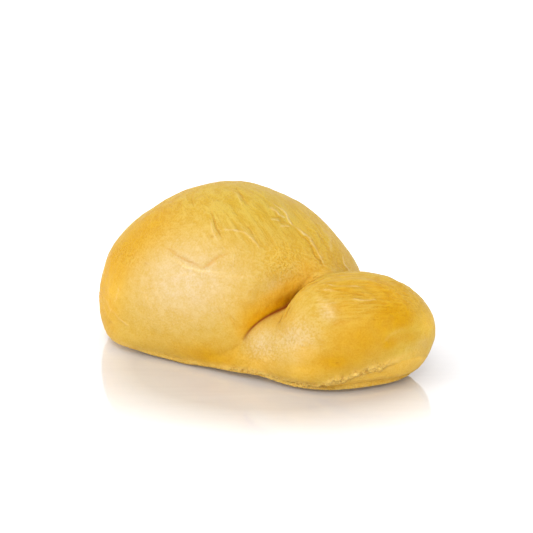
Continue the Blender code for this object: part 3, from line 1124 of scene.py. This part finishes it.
@dataclass(frozen=True)
class Colouring:
    """Where the rind is paler, deeper or greener, and where light, sheen and shade are painted on it, as
    shares that the finish mixes its colours by.
    """

    form: Form
    # Deeper smoked amber, partly painted shade at the left edge, along the lower rim, beside the crease and
    # on the belly's far side.
    amber_and_shade: tuple[Patch, ...] = ovals(
        (145, 230, 52, 22, -42.0, 0.75),
        (103, 292, 16, 55, 0.0, 0.8),
        (366, 338, 40, 20, -15.0, 1.0),
        (395, 310, 30, 22, 20.0, 0.8),
        (326, 364, 26, 13, 0.0, 0.7),
        (218, 359, 56, 13, 10.0, 0.9),
        (293, 245, 22, 30, -30.0, 0.10),
        (345, 288, 40, 10, 0.0, 0.6),
        (330, 242, 22, 34, -40.0, 1.0),
        (392, 325, 20, 14, 0.0, 0.5),
        (120, 268, 18, 22, 0.0, 0.25),
        (286, 317, 12, 14, 30.0, 0.45),
        (250, 312, 12, 16, -40.0, 0.5),
        (348, 362, 26, 9, -15.0, 0.3),
        (345, 308, 16, 9, 0.0, 0.45),
        (390, 288, 22, 9, 15.0, 0.35),
        (320, 215, 30, 22, 40.0, 0.45),
        (391, 346, 8, 5, -20.0, 0.5),
        (413, 338, 8, 5, -20.0, 0.5),
    )
    # Pale rind, with painted sheen and highlights on the belly's front, the neck and the head.
    pale_and_sheen: tuple[Patch, ...] = ovals(
        (187, 280, 50, 38, 0.0, 1.0),
        (308, 270, 20, 12, -30.0, 0.5),
        (277, 288, 12, 8, -40.0, 0.35),
        (262, 343, 14, 12, -40.0, 0.65),
        (297, 342, 20, 22, 0.0, 0.75),
        (329, 312, 9, 9, 0.0, 0.6),
        (262, 361, 16, 10, 0.0, 0.5),
        (408, 351, 14, 4.5, -30.0, 0.6),
        (395, 336, 12, 3.5, -32.0, 0.4),
        (426, 335, 5, 13, 20.0, 0.5),
    )
    # Painted light: patches that lighten the rind where it lies in shade.
    painted_light: tuple[Patch, ...] = ovals(
        (309, 269, 20, 12, -30.0, 0.8),
        (273, 296, 18, 6, -35.0, 0.7),
        (284, 257, 18, 15, 0.0, 0.35),
        (262, 363, 18, 9, 0.0, 0.5),
        (303, 352, 16, 10, 0.0, 0.35),
        (293, 289, 12, 8, -45.0, 1.0),
        (429, 325, 9, 14, 0.0, 0.6),
        (326, 238, 24, 36, -40.0, 0.3),
        (394, 292, 26, 12, 25.0, 0.3),
        (112, 300, 10, 34, 0.0, 0.3),
        (302, 373, 24, 9, 0.0, 0.6),
        (377, 376, 26, 7, -12.0, 0.6),
    )
    green: tuple[Patch, ...] = ovals(
        (256, 203, 70, 30, 10.0, 0.8),
        (328, 240, 35, 36, 40.0, 0.6),
        (428, 328, 12, 12, 0.0, 1.0),
        (405, 354, 18, 10, -35.0, 0.9),
        (400, 332, 16, 4, -14.0, 0.6),
    )
    peel: tuple[Patch, ...] = ovals(
        (284, 262, 22, 19, 0.0, 1.0),
        (122, 253, 16, 12, 40.0, 0.8),
        (172, 222, 48, 18, -30.0, 0.35),
        (304, 330, 22, 18, 0.0, 0.45),
        (262, 350, 24, 14, 0.0, 0.45),
        (250, 205, 60, 20, 10.0, 0.2),
    )

    slow: Noise = Noise(11, 0.022, 2)
    hidden_amber: Triple = (-0.5, 1.0, 0.6)  # the noise's range, and the strength
    hidden_pale: Triple = (0.0, 0.9, 0.25)
    hidden_peel: Triple = (-0.3, 1.0, 0.3)
    hidden_green: Triple = (0.2, 0.9, 0.6)  # the normal's height, and the strength
    crease_full: float = 3.0 * MM
    crease_width: float = 6.4 * MM
    crease_ends: Pair = (0.80, 0.64)
    belly_side: Pair = (-0.3 * MM, 0.5 * MM)
    cleft_widths: Pair = (0.85 * MM, 1.35 * MM)
    cleft_widening: Pair = (0.50, 0.58)
    cleft_reach: Pair = (11.0 * MM, 6.0 * MM)
    cleft_start: Pair = (0.0, 0.06)
    fold_full: float = 2.0 * MM
    fold_most: float = 0.7
    fold_width: float = 0.7 * MM
    under_above: Pair = (0.2 * MM, -0.6 * MM)
    under_from: Pair = (0.008, 0.020)
    rim_edge: Band = Band(1.0, 1.0 * MM, 1.6 * MM)
    rim_least: float = 0.3
    streaks_from: Pair = (0.010, 0.020)
    streaks_heights: Pair = (0.024, 0.034)

    def shares(self, skin: Skin) -> dict[str, Array]:
        """The share of each tint at each place.

        Args:
            skin: The smooth skin.

        Returns:
            For each tint's name, values from 0 to 1.
        """
        x, _, z = skin.places.T
        slow = self.slow.at(skin.places)
        shares = {
            "amber_and_shade": skin.cover(self.amber_and_shade) + self.hidden(skin, slow, *self.hidden_amber),
            "pale_and_sheen": skin.cover(self.pale_and_sheen) + self.hidden(skin, -slow, *self.hidden_pale),
            "green": skin.cover(self.green) + self.hidden(skin, skin.normals[:, 2], *self.hidden_green),
            "painted_light": skin.cover(self.painted_light),
            "under": eased(skin.above, *self.under_above) * eased(x, *self.under_from),
            "edge": self.rim_edge.at(skin.above) * between((self.rim_least, 1.0), skin.crumbling),
            "peel": skin.cover(self.peel) + self.hidden(skin, -slow, *self.hidden_peel),
            "streaks": eased(x, *self.streaks_from) * eased(z, *self.streaks_heights),
        }
        shares |= self.creased(skin)
        return {name: np.clip(value, 0, 1) for name, value in shares.items()}

    @staticmethod
    def hidden(skin: Skin, value: Array, low: float, high: float, strength: float) -> Array:
        """A tint on the side that the picture hides, where a value climbs from low to high."""
        return (1 - skin.facing) * eased(value, low, high) * strength

    def creased(self, skin: Skin) -> dict[str, Array]:
        """Painted shade: a deep tint along the crease, on the belly's side, and a dark shade line in its
        cleft and the fold.

        Args:
            skin: The smooth skin.

        Returns:
            The two tints' shares, each a bell of the distance.
        """
        distance, values, along = self.form.crease.nearest(skin.places)
        depth = np.clip(values[:, 0] / self.crease_full, 0, 1)
        gap = self.form.head(skin.places) - self.form.belly(skin.places)
        near = bell(distance, self.crease_width) * eased(along, *self.crease_ends)
        width = between(self.cleft_widths, eased(along, *self.cleft_widening))
        meeting = bell(gap, width) * eased(distance, *self.cleft_reach) * eased(along, *self.cleft_start)
        fold_distance, fold_values, _ = self.form.fold.nearest(skin.places)
        fold_depth = np.clip(fold_values[:, 0] / self.fold_full, 0, self.fold_most)
        return {
            "crease": depth * eased(gap, *self.belly_side) * near,
            "cleft_shade": depth * meeting + fold_depth * bell(fold_distance, self.fold_width),
        }


def linear(red: int, green: int, blue: int) -> Colour:
    """A colour given by its 8-bit screen values, as the linear values that shaders take.

    Args:
        red: The screen's red, from 0 to 255.
        green: The screen's green.
        blue: The screen's blue.

    Returns:
        Linear red, green and blue by the usual screen's curve, and an alpha of 1.
    """
    screen = np.array([red, green, blue]) / 255
    light = np.where(screen <= 0.04045, screen / 12.92, ((screen + 0.055) / 1.055) ** 2.4)
    return (*light.tolist(), 1.0)


@dataclass(frozen=True)
class Grain:
    """A noise of a finish: its grains to the metre, octaves and how strong the finer ones are, and how
    long its grains are along three axes that are turned by so many degrees.
    """

    scale: float
    detail: float = 2.0
    roughness: float = 0.5
    stretch: Triple = (1.0, 1.0, 1.0)
    turn: Triple = (0.0, 0.0, 0.0)


class NodeSheet:
    """A material's node tree, with short methods that add nodes and link them."""

    def __init__(self, name: str) -> None:
        """Makes the material and keeps its principled shader."""
        self.material = bpy.data.materials.new(name)
        self.material.use_nodes = True
        self.tree = self.material.node_tree
        self.shader = self.tree.nodes["Principled BSDF"]
        self.places = self.add("ShaderNodeTexCoord").outputs["Object"]

    def add(self, kind: str, **settings: object) -> bpy.types.Node:
        """A new node of a kind, with its own settings.

        Args:
            kind: The node's type name.
            **settings: Values for the node's properties.

        Returns:
            The node.
        """
        node = self.tree.nodes.new(kind)
        for name, value in settings.items():
            setattr(node, name, value)
        return node

    def feed(self, socket: Socket, value: object) -> None:
        """Links another node's output to a socket, or sets the socket's value.

        Args:
            socket: The socket.
            value: The output or the value.
        """
        if isinstance(value, Socket):
            self.tree.links.new(value, socket)
        else:
            socket.default_value = value

    def fed(self, node: bpy.types.Node, settings: dict[str, object]) -> bpy.types.Node:
        """A node with its sockets fed by their names.

        Args:
            node: The node.
            settings: For each socket's name, what feeds it.

        Returns:
            The same node.
        """
        for name, value in settings.items():
            self.feed(node.inputs[name], value)
        return node

    def dressed(self, settings: dict[str, object]) -> bpy.types.Material:
        """The material, with its shader's sockets fed by their names."""
        self.fed(self.shader, settings)
        return self.material

    def noise(self, grain: Grain) -> Socket:
        """A noise on object coordinates.

        Args:
            grain: The noise's sizes.

        Returns:
            The noise's value socket.
        """
        turned = {"Rotation": np.radians(grain.turn).tolist(), "Scale": grain.stretch}
        mapping = self.add("ShaderNodeMapping", vector_type="TEXTURE")
        vector = self.fed(mapping, {"Vector": self.places, **turned}).outputs["Vector"]
        sizes = {"Scale": grain.scale, "Detail": grain.detail, "Roughness": grain.roughness}
        return self.fed(self.add("ShaderNodeTexNoise"), {"Vector": vector, **sizes}).outputs["Fac"]

    def share(self, name: str) -> Socket:
        """The share of a tint that the piece carries under this name."""
        return self.add("ShaderNodeAttribute", attribute_name=name).outputs["Fac"]

    def ranged(
        self, value: object, low: float, high: float, to_low: float = 0.0, to_high: float = 1.0
    ) -> Socket:
        """A value carried from one range to another, held at the ends.

        Args:
            value: The socket to carry.
            low: The start of its range.
            high: The end of its range.
            to_low: What its start becomes.
            to_high: What its end becomes.

        Returns:
            The result's socket.
        """
        settings = {"Value": value, "From Min": low, "From Max": high, "To Min": to_low, "To Max": to_high}
        return self.fed(self.add("ShaderNodeMapRange", clamp=True), settings).outputs["Result"]

    def math(self, operation: str, *values: object) -> Socket:
        """Values added, multiplied or the like.

        Args:
            operation: The name of the operation.
            *values: The values, as many as it takes.

        Returns:
            The result's socket.
        """
        node = self.add("ShaderNodeMath", operation=operation)
        for socket, value in zip(node.inputs, values):
            self.feed(socket, value)
        return node.outputs["Value"]

    def vector(self, operation: str, first: object, second: object) -> bpy.types.Node:
        """The node that carries out an operation on two vectors.

        Args:
            operation: The name of the operation.
            first: The first vector.
            second: The second vector.

        Returns:
            The node.
        """
        node = self.add("ShaderNodeVectorMath", operation=operation)
        self.feed(node.inputs[0], first)
        self.feed(node.inputs[1], second)
        return node

    def times(self, first: object, *others: object) -> object:
        """Values multiplied in turn.

        Args:
            first: The first value.
            *others: What it is multiplied by.

        Returns:
            The product's socket.
        """
        for value in others:
            first = self.math("MULTIPLY", first, value)
        return first

    def bell(self, value: object, middle: float, width: float) -> Socket:
        """A bell exp(-((value - middle) / width)^2)."""
        away = self.math("MULTIPLY_ADD", value, 1 / width, -middle / width)
        return self.math("EXPONENT", self.times(away, away, -1.0))

    def mixed(self, share: object, first: object, second: object, blend: str = "MIX") -> Socket:
        """Two colours mixed by a share.

        Args:
            share: How much of the second colour there is.
            first: The first colour.
            second: The second colour.
            blend: How they mix.

        Returns:
            The result's socket.
        """
        node = self.add("ShaderNodeMix", data_type="RGBA", blend_type=blend)
        self.feed(node.inputs["Factor"], share)
        colours = [socket for socket in node.inputs if socket.type == "RGBA"]
        for socket, colour in zip(colours, (first, second)):
            self.feed(socket, colour)
        return next(socket for socket in node.outputs if socket.type == "RGBA")

    def layered(self, colour: object, *layers: tuple[object, object]) -> object:
        """A colour with others laid over it in turn.

        Args:
            colour: The lowest colour.
            *layers: For each, its share and its colour.

        Returns:
            The result's socket.
        """
        for share, tint in layers:
            colour = self.mixed(share, colour, tint)
        return colour

    def bumped(self, *layers: tuple[object, float]) -> Socket:
        """Bumps on top of each other.

        Args:
            *layers: For each, its height's socket, and how high 1 is in metres.

        Returns:
            The normal's socket.
        """
        normal = None
        for height, distance in layers:
            settings = {"Height": height, "Distance": distance, "Strength": 1.0}
            node = self.fed(self.add("ShaderNodeBump"), settings)
            if normal is not None:
                self.feed(node.inputs["Normal"], normal)
            normal = node.outputs["Normal"]
        return normal


@dataclass(frozen=True)
class Pattern:
    """A pattern that shows as far as the piece's share of its name: grain, tone swing and bump height."""

    name: str
    grain: Grain
    swing: float
    bump: float


@dataclass(frozen=True)
class RindFinish:
    """The smoked rind: golden, satin and a little translucent, with finer grain than the mesh holds, and
    with painted light, sheen and shade in its colour.
    """

    golden: Colour = linear(205, 169, 74)
    # Pale rind colour, also used as painted sheen and highlight.
    pale_and_sheen: Colour = linear(212, 187, 138)
    # Deeper smoked amber, also used as painted shade.
    amber_and_shade: Colour = linear(204, 152, 16)
    green: Colour = linear(207, 173, 62)
    # Painted light: a lighter gold for rind that lies in shade.
    painted_light: Colour = linear(234, 188, 70)
    # Painted shade: a deep, saturated tint where the belly rolls into the crease.
    crease: Colour = linear(224, 166, 10)
    # Painted shade: the dark line in the crease's cleft and the fold.
    cleft_shade: Colour = linear(132, 54, 0)
    # Painted highlight on ridge crests, and below it painted shade in grooves.
    ridge_highlight: Colour = linear(244, 218, 160)
    groove_shade: Colour = linear(202, 140, 30)
    under: Colour = linear(228, 186, 80)
    edge: Colour = linear(234, 194, 100)
    # Dark brown of the crumbs, also used as painted shade under the lip, in its cracks and in the pits.
    crumb_and_shade: Colour = linear(172, 106, 8)
    # Pale flakes of the lip, partly painted highlight on its crest and flakes.
    flake_and_highlight: Colour = linear(242, 202, 104)
    lighter: Colour = (1.07, 1.10, 1.28, 1.0)
    darker: Colour = (0.98, 0.90, 0.64, 1.0)
    roughness: Pair = (0.36, 0.50)
    specular: float = 0.07
    translucence: float = 0.25
    translucent_depth: float = 1.5 * MM
    translucent_reach: Triple = (1.0, 0.75, 0.4)
    broad: Grain = Grain(75.0, 4.0, 0.6)
    mottle: Grain = Grain(300.0, 5.0, 0.65)
    fine: Grain = Grain(1500.0, 3.0, 0.6)
    patterns: tuple[Pattern, ...] = (
        Pattern("peel", Grain(1120.0, 1.0), 1.5, 0.70 * MM),
        Pattern("streaks", Grain(950.0, 2.0, 0.5, (7.0, 1.0, 0.8), (0.0, 0.0, 8.0)), 0.9, 0.60 * MM),
        Pattern("folds", Grain(430.0, 3.0, 0.55, (7.0, 1.0, 1.0), (0.0, 37.0, -50.0)), 1.0, 1.00 * MM),
    )
    amber_waves: Ranges = (0.3, 0.65, 0.65, 1.15)  # from range, to range
    ridge_highlight_shares: Ranges = (0.02, 0.30, 0.0, 0.45)
    groove_shade_shares: Ranges = (-0.02, -0.30, 0.0, 0.5)
    mottle_tones: Ranges = (0.32, 0.68, -0.20, 0.60)
    fine_tones: Ranges = (0.3, 0.7, -0.16, 0.76)
    pattern_range: Pair = (0.33, 0.67)
    gloss_range: Pair = (0.3, 0.7)
    mottle_bump: float = 0.40 * MM
    fine_bump: float = 0.26 * MM
    crest_bump: float = 1.0 * MM
    rim_bump: float = 0.35 * MM
    crest_layers: int = 5
    crest_width: float = 0.62
    lip_share: float = 0.5
    undercut_share: float = 0.55
    flake_share: float = 0.6
    pit_share: float = 0.35
    wobble: Grain = Grain(520.0, 4.0, 0.7)
    wobble_range: Ranges = (0.3, 0.7, -1.0, 1.0)
    breaks: Grain = Grain(400.0, 2.0)
    breaks_range: Pair = (0.40, 0.58)
    crumbs: Grain = Grain(560.0, 3.0, 0.6)
    flakes_range: Pair = (0.50, 0.62)
    cracks_range: Pair = (0.46, 0.36)
    lip_line: Pair = (0.65, 0.55)  # how many mm above the edge, and the width
    undercut_line: Pair = (-0.30, 0.35)
    crumbly_line: Pair = (1.0, 1.3)

    def material(self) -> bpy.types.Material:
        """The material: tints, painted light and shade among them, mixed by the piece's shares and by
        noise, fine bumps and uneven gloss.

        Returns:
            The material, ready for the piece.
        """
        sheet = NodeSheet("smoked_rind")
        mottle, fine = sheet.noise(self.mottle), sheet.noise(self.fine)
        crest = self.crests(sheet)
        lip, undercut, flakes, cracks = self.lip(sheet)
        tones = (sheet.ranged(mottle, *self.mottle_tones), sheet.ranged(fine, *self.fine_tones))
        tone = sheet.math("ADD", *tones)
        bumps = [(mottle, self.mottle_bump), (fine, self.fine_bump)]
        for pattern in self.patterns:
            noise, share = sheet.noise(pattern.grain), sheet.share(pattern.name)
            swing = sheet.ranged(noise, *self.pattern_range, -pattern.swing, pattern.swing)
            tone = sheet.math("MULTIPLY_ADD", share, swing, tone)
            bumps.append((sheet.times(noise, share), pattern.bump))
        rim = sheet.math("SUBTRACT", sheet.math("ADD", lip, flakes), cracks)
        bumps += [(crest, self.crest_bump), (rim, self.rim_bump)]

        waves = sheet.ranged(sheet.noise(self.broad), *self.amber_waves)
        colour = sheet.layered(
            self.golden,
            (sheet.share("pale_and_sheen"), self.pale_and_sheen),
            (sheet.times(sheet.share("amber_and_shade"), waves), self.amber_and_shade),
            (sheet.share("green"), self.green),
            (sheet.share("painted_light"), self.painted_light),
            (sheet.share("edge"), self.edge),
            (sheet.share("under"), self.under),
            (sheet.share("crease"), self.crease),
            # Painted highlight on the ridges and painted shade in the grooves, by the crests' height.
            (sheet.ranged(crest, *self.ridge_highlight_shares), self.ridge_highlight),
            (sheet.ranged(crest, *self.groove_shade_shares), self.groove_shade),
        )
        tone = sheet.mixed(sheet.ranged(tone, 0.0, 1.0), self.darker, self.lighter)
        colour = sheet.layered(
            sheet.mixed(1.0, colour, tone, "MULTIPLY"),
            # Painted highlight and pale flakes along the lip.
            (sheet.times(lip, self.lip_share), self.flake_and_highlight),
            # Painted shade: the dark line under the lip.
            (sheet.times(undercut, self.undercut_share), self.crumb_and_shade),
            (sheet.times(flakes, self.flake_share), self.flake_and_highlight),
            (sheet.times(cracks, self.flake_share), self.crumb_and_shade),
            (sheet.times(sheet.share("pits"), self.pit_share), self.crumb_and_shade),
            (sheet.share("cleft_shade"), self.cleft_shade),
        )
        settings = {
            "Base Color": colour,
            "Roughness": sheet.ranged(mottle, *self.gloss_range, *self.roughness),
            "Specular IOR Level": self.specular,
            "Subsurface Weight": self.translucence,
            "Subsurface Scale": self.translucent_depth,
            "Subsurface Radius": self.translucent_reach,
            "Normal": sheet.bumped(*bumps),
        }
        return sheet.dressed(settings)

    def crests(self, sheet: NodeSheet) -> object:
        """The crisp crests of the drawn lines and wrinkles: a bell across each, summed by layer.

        Args:
            sheet: The sheet that its nodes go on.

        Returns:
            The crests' height in mm, below 0 in a groove.
        """
        total = 0.0
        for layer in range(self.crest_layers):
            bell = sheet.bell(sheet.share(f"across_{layer}"), 0.0, self.crest_width)
            total = sheet.math("MULTIPLY_ADD", bell, sheet.share(f"crest_{layer}"), total)
        return total

    def lip(self, sheet: NodeSheet) -> tuple[object, object, object, object]:
        """The ragged lip: lines at their ways above the edge, which wobble with the crumbs.

        Args:
            sheet: The sheet that its nodes go on.

        Returns:
            The lip's crest, the painted shade line under it, and the flakes and cracks over it, from 0 to
            1.
        """
        crumbly, strength = sheet.share("crumbly"), sheet.share("lip")
        wobble = sheet.ranged(sheet.noise(self.wobble), *self.wobble_range)
        above = sheet.math("MULTIPLY_ADD", wobble, crumbly, sheet.share("above"))
        broken = sheet.ranged(sheet.noise(self.breaks), *self.breaks_range)
        crumbs = sheet.noise(self.crumbs)
        crest = sheet.times(sheet.bell(above, *self.lip_line), strength)
        undercut = sheet.times(sheet.bell(above, *self.undercut_line), strength, broken)
        band = sheet.times(sheet.bell(above, *self.crumbly_line), strength, crumbly)
        flakes = sheet.times(band, sheet.ranged(crumbs, *self.flakes_range))
        cracks = sheet.times(band, sheet.ranged(crumbs, *self.cracks_range))
        return crest, undercut, flakes, cracks


@dataclass(frozen=True)
class FloorFinish:
    """The floor: white and lit from within, with a mirror image and a painted shade that fade away from the
    cheese.
    """

    white: Colour = linear(252, 252, 252)
    # Painted shade round the cheese: a darker floor colour, and below it a dimmer glow.
    painted_floor_shade: Colour = linear(220, 219, 222)
    painted_shade_glow: Colour = linear(120, 120, 120)
    mirror: float = 0.40
    glow: float = 0.30
    roughness: float = 0.09
    squeeze: Triple = (0.8, 1.0, 1.0)
    middle: Triple = (0.004, -0.015, 0.0)
    fade: Pair = (0.086, 0.042)
    brushed: Grain = Grain(160.0, 4.0, 0.7, (8.0, 1.0, 1.0))
    brushed_range: Ranges = (0.3, 0.7, 0.93, 1.07)

    def material(self) -> bpy.types.Material:
        """The floor's material, which mirrors more, glows less and is painted with shade inside an oval
        round the middle.

        Returns:
            The material.
        """
        sheet = NodeSheet("white_floor")
        oval = sheet.vector("MULTIPLY", sheet.places, self.squeeze).outputs["Vector"]
        reach = sheet.vector("DISTANCE", oval, self.middle).outputs["Value"]
        near = sheet.ranged(reach, *self.fade)
        brushed = sheet.ranged(sheet.noise(self.brushed), *self.brushed_range)
        settings = {
            "Base Color": sheet.mixed(near, self.white, self.painted_floor_shade),
            "Metallic": sheet.times(near, self.mirror, brushed),
            "Emission Color": sheet.mixed(near, self.white, self.painted_shade_glow),
            "Emission Strength": self.glow,
            "Roughness": self.roughness,
            "Specular IOR Level": 0.0,
        }
        return sheet.dressed(settings)


def placed(name: str, data: bpy.types.ID) -> bpy.types.Object:
    """A new object in the scene.

    Args:
        name: Its name.
        data: Its mesh, lamp or camera.

    Returns:
        The object.
    """
    made = bpy.data.objects.new(name, data)
    bpy.context.scene.collection.objects.link(made)
    return made


@dataclass
class Cheese:
    """The smoked scamorza: one closed skin over belly, neck and head, flat where it rests."""

    outlook: Outlook
    form: Form = field(default_factory=Form)
    rim: Rim = field(default_factory=Rim)
    finish: RindFinish = field(default_factory=RindFinish)
    shift: Array = field(default_factory=lambda: np.zeros(3))
    press: float = 6.0 * MM
    margin: float = 0.02 * MM

    def build(self) -> bpy.types.Object:
        """Wraps the grid on the skin, adds the relief and the tints, and dresses the piece.

        Returns:
            The finished piece, riding on the body and standing for the plain solid.
        """
        grid = Grid(self.form, self.rim)
        points = grid.wrapped()
        points = np.vstack([points[0, :1], points[1:-1].reshape(-1, 3), points[-1, :1]])
        normals = unit(grid.slope(points, grid.level(points)))
        skin = Skin.watched(points, normals, self.outlook, self.rim)
        relief = Relief(self.outlook.pixels_per_mm)
        lines, across, crest = relief.traces(skin)
        tints = Colouring(self.form).shares(skin) | relief.ragged(skin)
        wrinkle_across, wrinkle_crest = relief.wrinkles(skin)
        for layer, (widths, height) in enumerate(zip((*across, wrinkle_across), (*crest, wrinkle_crest))):
            tints |= {f"across_{layer}": widths, f"crest_{layer}": height}
        self.shift = -(points.min(axis=0) + points.max(axis=0)) / 2 * (1, 1, 0)
        points = points + relief.at(skin, lines)[:, None] * normals + self.shift
        points[:, 2] = np.maximum(points[:, 2], 0)
        points = self.pressed(points)

        mesh = self.mesh(points, *grid.faces())
        for name, values in tints.items():
            mesh.attributes.new(name, "FLOAT", "POINT").data.foreach_set("value", values.astype(np.float32))
        mesh.materials.append(self.finish.material())
        piece = placed("scamorza_rind", mesh)
        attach(piece, "root")
        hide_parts("scamorza")
        LOG.info("rind: %d points, %d faces", len(mesh.vertices), len(mesh.polygons))
        return piece

    def pressed(self, points: Array) -> Array:
        """The skin with its outermost stretch on each side pressed inwards, into the plain solid's box.

        Args:
            points: The finished skin's points, one to a row.

        Returns:
            The points, carried from one range to another along each axis by straight lines.
        """
        columns = []
        for axis, (low, high) in enumerate(zip(*CAD_BOX)):
            least, most = points[:, axis].min(), points[:, axis].max()
            lowest = max(least, low if axis == 2 else low + self.margin)
            highest = min(most, high - self.margin)
            ranges = (least, low + self.press, high - self.press, most)
            columns.append(np.interp(points[:, axis], ranges, (lowest, *ranges[1:3], highest)))
        return np.column_stack(columns)

    @staticmethod
    def mesh(points: Array, triangles: Array, quads: Array) -> bpy.types.Mesh:
        """A smooth-shaded mesh of whole arrays of points and faces.

        Args:
            points: The vertices, one to a row.
            triangles: Three vertex numbers to a row.
            quads: Four vertex numbers to a row.

        Returns:
            The mesh.
        """
        mesh = bpy.data.meshes.new("scamorza_rind")
        mesh.vertices.add(len(points))
        mesh.vertices.foreach_set("co", points.astype(np.float32).ravel())
        mesh.loops.add(triangles.size + quads.size)
        mesh.loops.foreach_set("vertex_index", np.concatenate([triangles.ravel(), quads.ravel()]))
        mesh.polygons.add(len(triangles) + len(quads))
        sizes = np.concatenate([np.full(len(triangles), 3), np.full(len(quads), 4)])
        mesh.polygons.foreach_set("loop_start", np.cumsum(sizes) - sizes)
        mesh.update(calc_edges=True)
        mesh.validate()
        mesh.shade_smooth()
        return mesh


@dataclass(frozen=True)
class Lamp:
    """A soft lamp: its name, where it hangs in degrees and metres, its size and its power."""

    name: str
    azimuth: float
    elevation: float
    distance: float
    size: float
    power: float


@dataclass(frozen=True)
class Studio:
    """The pale floor, the white surroundings, the soft lamps and the camera."""

    outlook: Outlook
    floor_width: float = 6.0
    floor_gap: float = 0.0002
    surroundings: float = 0.75
    backdrop: float = 1.25
    backdrop_from: Pair = (0.6, 0.9)
    floor_finish: FloorFinish = field(default_factory=FloorFinish)
    lamps: tuple[Lamp, ...] = (
        Lamp("key_lamp", -62.0, 24.0, 0.9, 0.22, 1.6),
        Lamp("front_lamp", 0.0, 40.0, 1.0, 0.30, 2.1),
        Lamp("top_lamp", -25.0, 65.0, 1.2, 1.20, 4.2),
    )

    def build(self, shift: Array) -> None:
        """Makes the floor, the surroundings, the lamps and the camera.

        Args:
            shift: How far the cheese was moved to stand over the origin.
        """
        self.floor()
        self.surround()
        for lamp in self.lamps:
            self.hang(lamp)
        self.camera(shift)
        LOG.info("studio: floor, %d lamps and the camera", len(self.lamps))

    def surround(self) -> None:
        """Makes the white surroundings, which are brighter where their direction's y is high."""
        world = bpy.data.worlds.new("white_surroundings")
        world.use_nodes = True
        nodes, links = world.node_tree.nodes, world.node_tree.links
        split, strength = nodes.new("ShaderNodeSeparateXYZ"), nodes.new("ShaderNodeMapRange")
        links.new(nodes.new("ShaderNodeTexCoord").outputs["Object"], split.inputs["Vector"])
        links.new(split.outputs["Y"], strength.inputs["Value"])
        ranges = (*self.backdrop_from, self.surroundings, self.backdrop)
        for name, value in zip(("From Min", "From Max", "To Min", "To Max"), ranges):
            strength.inputs[name].default_value = value
        links.new(strength.outputs["Result"], nodes["Background"].inputs["Strength"])
        nodes["Background"].inputs["Color"].default_value = (1, 1, 1, 1)
        bpy.context.scene.world = world
        bpy.context.scene.view_settings.view_transform = "Standard"

    def floor(self) -> None:
        """Makes the floor, a hair below the cheese."""
        half, height = self.floor_width / 2, -self.floor_gap
        corners = [(x * half, y * half, height) for x, y in ((-1, -1), (1, -1), (1, 1), (-1, 1))]
        mesh = bpy.data.meshes.new("floor")
        mesh.from_pydata(corners, [], [(0, 1, 2, 3)])
        mesh.materials.append(self.floor_finish.material())
        floor = placed("floor", mesh)

    def hang(self, lamp: Lamp) -> None:
        """Hangs one lamp, turned to the cheese.

        Args:
            lamp: The lamp. Its azimuth is 0 towards the camera and grows to the right.
        """
        data = bpy.data.lights.new(lamp.name, "AREA")
        data.shape = "DISK"
        data.size = lamp.size
        data.energy = lamp.power
        around, up = np.radians(lamp.azimuth), np.radians(lamp.elevation)
        away = Vector((np.sin(around) * np.cos(up), -np.cos(around) * np.cos(up), np.sin(up)))
        target = Vector((0, 0, self.outlook.target[2]))
        self.aim(placed(lamp.name, data), target, away, lamp.distance)

    @staticmethod
    def aim(thing: bpy.types.Object, target: Vector, away: Vector, distance: float) -> None:
        """Puts a lamp or camera that far from its target, in the direction given, and turns it there."""
        thing.location = target + away * distance
        thing.rotation_euler = away.to_track_quat("Z", "Y").to_euler()

    def camera(self, shift: Array) -> None:
        """Sets up the camera at the photo's angle, distance and lens.

        Args:
            shift: How far the cheese was moved to stand over the origin.
        """
        data = bpy.data.cameras.new("camera")
        data.lens = self.outlook.lens
        data.sensor_width = self.outlook.sensor
        camera = placed("camera", data)
        target = Vector(np.array(self.outlook.target) + shift)
        self.aim(camera, target, Vector(self.outlook.back), self.outlook.distance)
        bpy.context.scene.camera = camera


def main() -> None:
    """Builds the cheese, then the studio round it."""
    logging.basicConfig(level=logging.INFO)
    outlook = Outlook()
    cheese = Cheese(outlook)
    cheese.build()
    Studio(outlook).build(cheese.shift)


if __name__ == "__main__":
    main()
